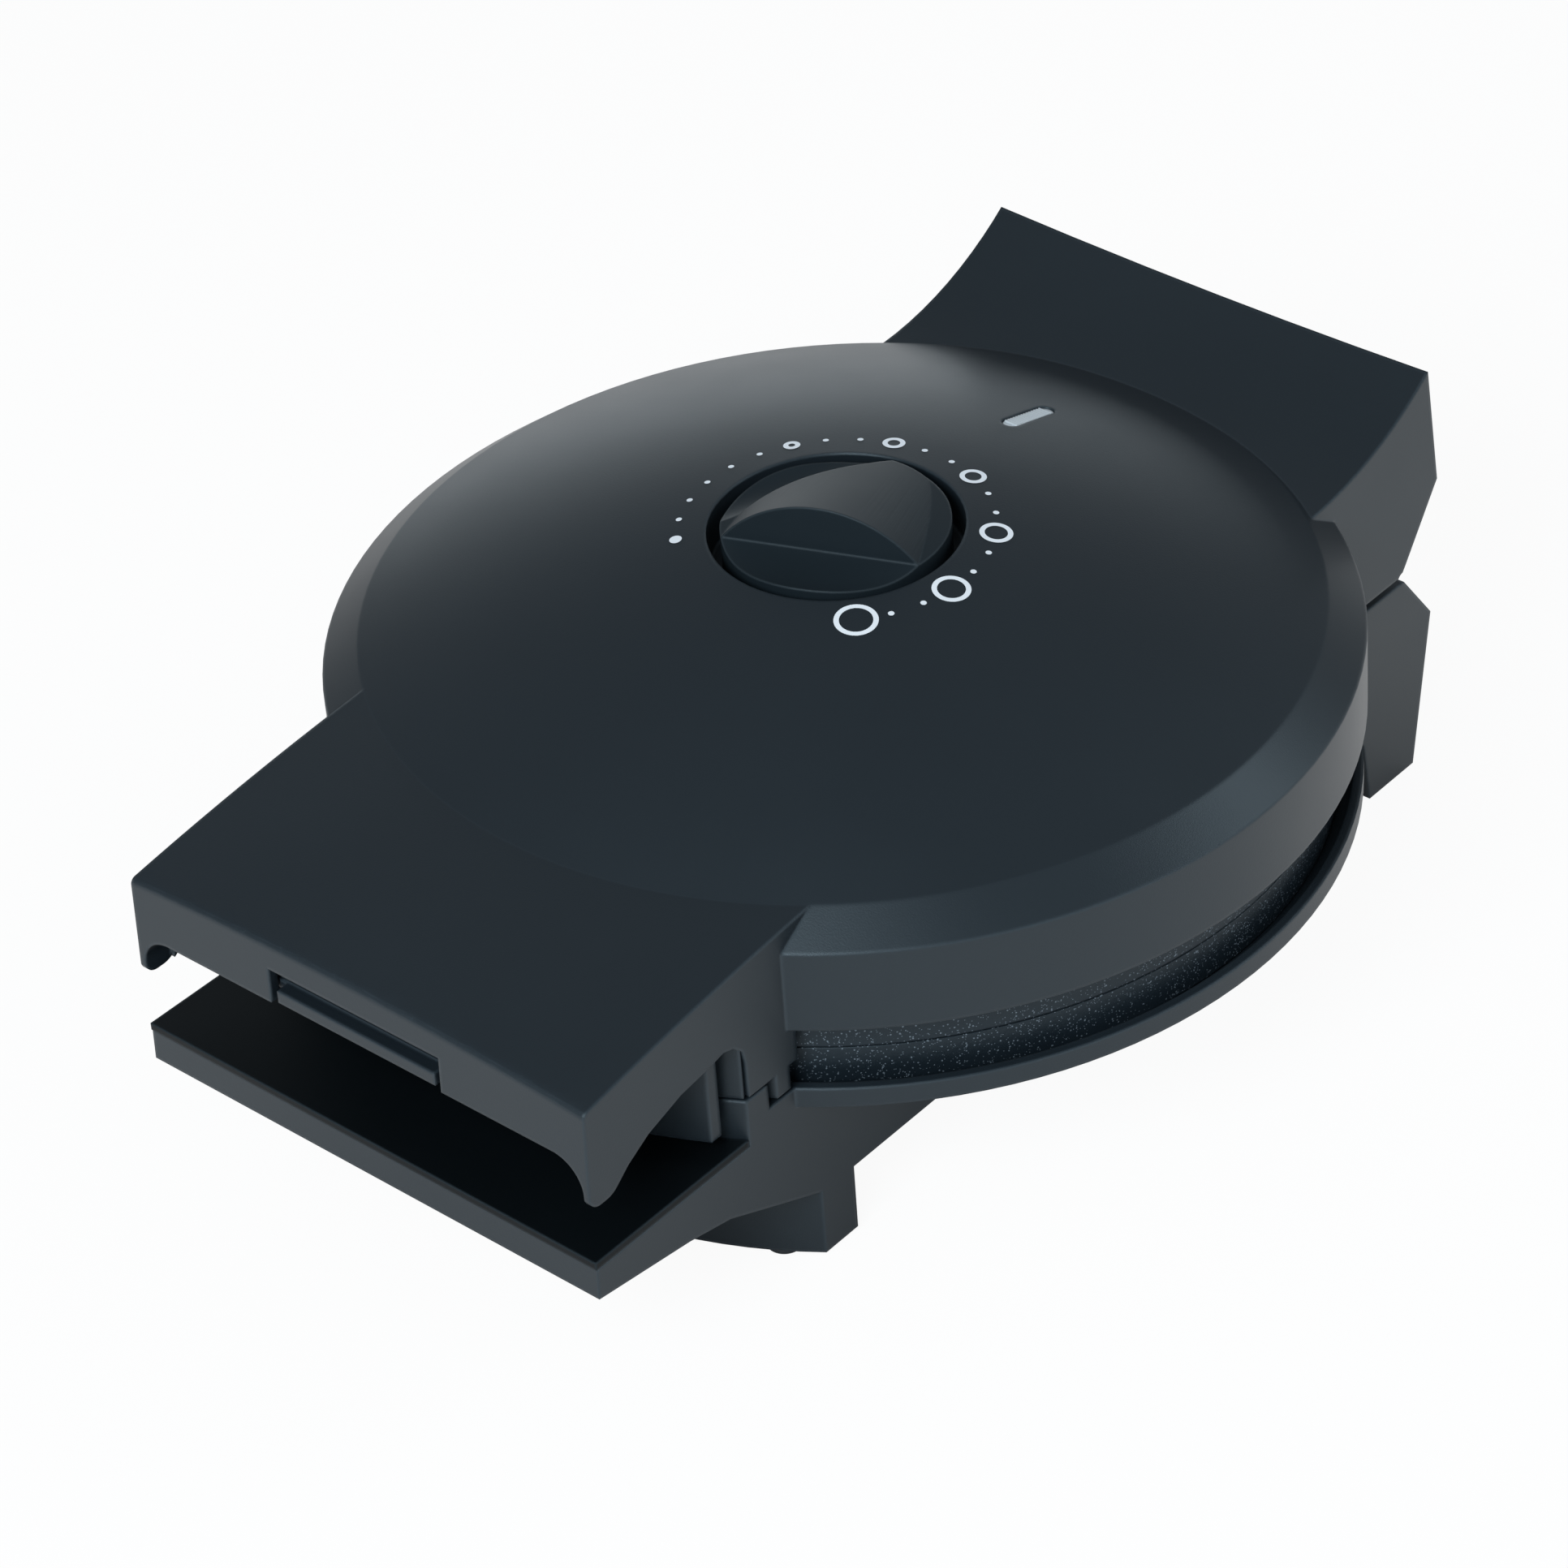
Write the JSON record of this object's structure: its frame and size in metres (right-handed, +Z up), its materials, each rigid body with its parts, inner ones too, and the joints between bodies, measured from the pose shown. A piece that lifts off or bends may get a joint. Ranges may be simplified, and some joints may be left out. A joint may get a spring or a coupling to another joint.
{
  "type": "krumkake iron",
  "caption": "Round electric krumkake iron with engraved plates, a hinged domed lid, a dial on top, flat front handles and feet.",
  "frame": {"origin": "middle of the bounding box, on the plane the feet stand on", "axes": "+Z up, -Y towards the handles, +X to the right of a person facing the handles from the far side of the dial, hinge at +Y"},
  "size_m": [0.256, 0.327, 0.1415],
  "materials": {
    "housing_plastic": "fine-grained moulded blue-black plastic",
    "knob_plastic": "smooth satin blue-black plastic",
    "coated_plate": "dark speckled non-stick coating over cast aluminium",
    "screw_steel": "zinc plated steel",
    "heater_steel": "heat-tinted steel tube",
    "reflector_sheet": "plain bright sheet",
    "foot_rubber": "matte rubber",
    "lens_plastic": "pale grey ribbed diffuser",
    "lamp_glass": "small indicator lamp",
    "terminal_plastic": "ivory heat-proof plastic"
  },
  "bodies": {
    "base": {"lower_housing": "housing_plastic", "lower_handle_cover": "housing_plastic", "foot_cover": "housing_plastic", "lower_plate": "coated_plate", "cover_screws": "screw_steel", "lower_plate_screws": "screw_steel", "foot_screws": "screw_steel", "hinge_pins": "screw_steel", "lower_heater": "heater_steel", "lower_reflector": "reflector_sheet", "foot_pads": "foot_rubber", "cord_bushing": "foot_rubber", "terminal_block": "terminal_plastic"},
    "lid": {"upper_housing": "housing_plastic", "handle_liner": "housing_plastic", "liner_screws": "screw_steel", "upper_plate": "coated_plate", "upper_heater": "heater_steel", "upper_reflector": "reflector_sheet", "upper_plate_screws": "screw_steel", "thermostat_body": "reflector_sheet", "indicator_lens": "lens_plastic", "indicator_lamp": "lamp_glass"},
    "knob": {"thermostat_knob": "knob_plastic", "thermostat_shaft": "screw_steel"}
  },
  "joints": [
    {"name": "lid_hinge", "type": "hinge", "parent": "base", "child": "lid", "pos_m": [0, 0.1485, 0.0626], "axis": [-1, 0, 0], "range_deg": [0, 105]},
    {"name": "thermostat_turn", "type": "hinge", "parent": "lid", "child": "knob", "pos_m": [0, 0.0115, 0.12], "axis": [0, 0, -1], "range_deg": [0, 265]}
  ]
}
